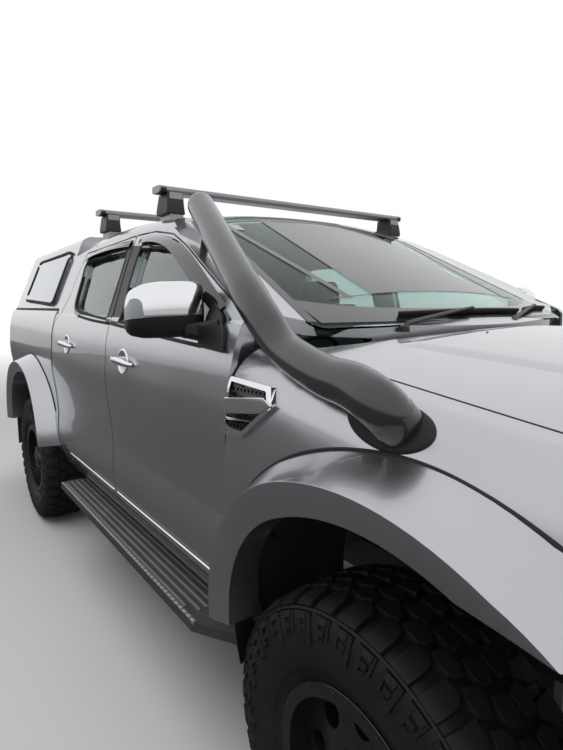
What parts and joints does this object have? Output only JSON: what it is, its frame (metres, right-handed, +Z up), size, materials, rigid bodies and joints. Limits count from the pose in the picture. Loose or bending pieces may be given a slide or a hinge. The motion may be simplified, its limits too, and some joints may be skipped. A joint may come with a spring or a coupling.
{
  "type": "lifted off-road 4x4",
  "caption": "Lifted dual-cab 4x4 utility with a hard canopy, snorkel, wide flares, roof bars, side steps and mud-terrain tyres.",
  "frame": {"origin": "on the ground, below the middle of the vehicle's overall length and width", "axes": "+X forward, +Y to the vehicle's left, +Z up"},
  "size_m": [5.354, 2.2412, 2.0139],
  "materials": {
    "chassis_black": "satin black chassis paint",
    "cast_iron": "rough cast iron",
    "damper_steel": "dull steel",
    "tank_plastic": "matt black moulded plastic",
    "tyre_rubber": "matt tyre rubber",
    "rim_black": "satin black wheel paint",
    "body_paint": "silver metallic paint under clear coat",
    "window_glass": "clear, faintly green glass",
    "dark_glass": "tinted glass",
    "seat_cloth": "dark woven cloth",
    "cabin_plastic": "grained dark plastic",
    "chrome": "bright chrome",
    "lamp_clear": "clear lamp lens",
    "lamp_red": "red lamp lens",
    "snorkel_black": "satin charcoal plastic",
    "bar_aluminium": "anodised aluminium",
    "bumper_steel": "satin black steel"
  },
  "bodies": {
    "vehicle": {"chassis_frame": "chassis_black", "engine_block": "cast_iron", "rear_axle": "cast_iron", "rear_springs": "chassis_black", "rear_dampers": "damper_steel", "front_struts": "chassis_black", "front_upper_arms": "chassis_black", "front_axle": "cast_iron", "exhaust": "damper_steel", "fuel_tank": "tank_plastic", "spare_wheel": "tyre_rubber", "cab_shell": "body_paint", "cab_glass": "window_glass", "seats": "seat_cloth", "dashboard": "cabin_plastic", "front_guards": "body_paint", "guard_vents": "chrome", "flares": "body_paint", "arch_liners": "tank_plastic", "headlamps": "lamp_clear", "front_bumper": "bumper_steel", "grille": "chrome", "grille_mesh": "tank_plastic", "cowl_panel": "tank_plastic", "snorkel": "snorkel_black", "roof_bars": "bar_aluminium", "side_steps": "tank_plastic", "tub": "body_paint", "tail_lamps": "lamp_red", "canopy": "body_paint", "rear_bumper": "bumper_steel", "tow_bar": "chassis_black"},
    "steering_wheel": {"steering_wheel": "cabin_plastic"},
    "bonnet": {"bonnet": "body_paint"},
    "tailgate": {"tailgate": "body_paint"},
    "canopy_door": {"canopy_door": "dark_glass"},
    "front_door_left": {"front_door_left": "body_paint", "front_door_glass_left": "window_glass", "mirror_left": "chrome"},
    "rear_door_left": {"rear_door_left": "body_paint", "rear_door_glass_left": "window_glass"},
    "canopy_window_left": {"canopy_window_left": "dark_glass"},
    "knuckle_left": {"knuckle_left": "cast_iron"},
    "front_wheel_left": {"front_tyre_left": "tyre_rubber", "front_rim_left": "rim_black"},
    "rear_wheel_left": {"rear_tyre_left": "tyre_rubber", "rear_rim_left": "rim_black"},
    "front_door_right": {"front_door_right": "body_paint", "front_door_glass_right": "window_glass", "mirror_right": "chrome"},
    "rear_door_right": {"rear_door_right": "body_paint", "rear_door_glass_right": "window_glass"},
    "canopy_window_right": {"canopy_window_right": "dark_glass"},
    "knuckle_right": {"knuckle_right": "cast_iron"},
    "front_wheel_right": {"front_tyre_right": "tyre_rubber", "front_rim_right": "rim_black"},
    "rear_wheel_right": {"rear_tyre_right": "tyre_rubber", "rear_rim_right": "rim_black"}
  },
  "joints": [
    {"name": "front_door_left", "type": "hinge", "parent": "vehicle", "child": "front_door_left", "pos_m": [1.15, 0.918, 1], "axis": [0, 0, -1], "range_deg": [0, 65]},
    {"name": "rear_door_left", "type": "hinge", "parent": "vehicle", "child": "rear_door_left", "pos_m": [0.125, 0.918, 1], "axis": [0, 0, -1], "range_deg": [0, 65]},
    {"name": "canopy_window_left", "type": "hinge", "parent": "vehicle", "child": "canopy_window_left", "pos_m": [-1.485, 0.71045, 1.846], "axis": [0.9996, 0.0265, 0], "range_deg": [0, 75]},
    {"name": "steer_left", "type": "hinge", "parent": "vehicle", "child": "knuckle_left", "pos_m": [1.772, 0.735, 0.435], "axis": [0, 0, 1], "range_deg": [-28, 28]},
    {"name": "front_wheel_left", "type": "hinge", "parent": "knuckle_left", "child": "front_wheel_left", "pos_m": [1.772, 0.818, 0.435], "axis": [0, 1, 0], "continuous": true},
    {"name": "rear_wheel_left", "type": "hinge", "parent": "vehicle", "child": "rear_wheel_left", "pos_m": [-1.448, 0.818, 0.435], "axis": [0, 1, 0], "continuous": true},
    {"name": "front_door_right", "type": "hinge", "parent": "vehicle", "child": "front_door_right", "pos_m": [1.15, -0.918, 1], "axis": [0, 0, 1], "range_deg": [0, 65]},
    {"name": "rear_door_right", "type": "hinge", "parent": "vehicle", "child": "rear_door_right", "pos_m": [0.125, -0.918, 1], "axis": [0, 0, 1], "range_deg": [0, 65]},
    {"name": "canopy_window_right", "type": "hinge", "parent": "vehicle", "child": "canopy_window_right", "pos_m": [-1.485, -0.71045, 1.846], "axis": [-0.9996, 0.0265, 0], "range_deg": [0, 75]},
    {"name": "steer_right", "type": "hinge", "parent": "vehicle", "child": "knuckle_right", "pos_m": [1.772, -0.735, 0.435], "axis": [0, 0, 1], "range_deg": [-28, 28]},
    {"name": "front_wheel_right", "type": "hinge", "parent": "knuckle_right", "child": "front_wheel_right", "pos_m": [1.772, -0.818, 0.435], "axis": [0, 1, 0], "continuous": true},
    {"name": "rear_wheel_right", "type": "hinge", "parent": "vehicle", "child": "rear_wheel_right", "pos_m": [-1.448, -0.818, 0.435], "axis": [0, 1, 0], "continuous": true},
    {"name": "steering_wheel", "type": "hinge", "parent": "vehicle", "child": "steering_wheel", "pos_m": [0.88, -0.36, 1.23], "axis": [-0.8713, 0, 0.4907], "range_deg": [-448, 448]},
    {"name": "bonnet", "type": "hinge", "parent": "vehicle", "child": "bonnet", "pos_m": [1.385, 0, 1.35], "axis": [0, -1, 0], "range_deg": [0, 50]},
    {"name": "tailgate", "type": "hinge", "parent": "vehicle", "child": "tailgate", "pos_m": [-2.502, 0, 1.015], "axis": [0, -1, 0], "range_deg": [0, 90]},
    {"name": "canopy_door", "type": "hinge", "parent": "vehicle", "child": "canopy_door", "pos_m": [-2.39066, 0, 1.846], "axis": [0, 1, 0], "range_deg": [0, 80]}
  ],
  "couplings": [
    {"joint": "steer_right", "follows": "steer_left", "ratio": 1},
    {"joint": "steering_wheel", "follows": "steer_left", "ratio": 16}
  ]
}
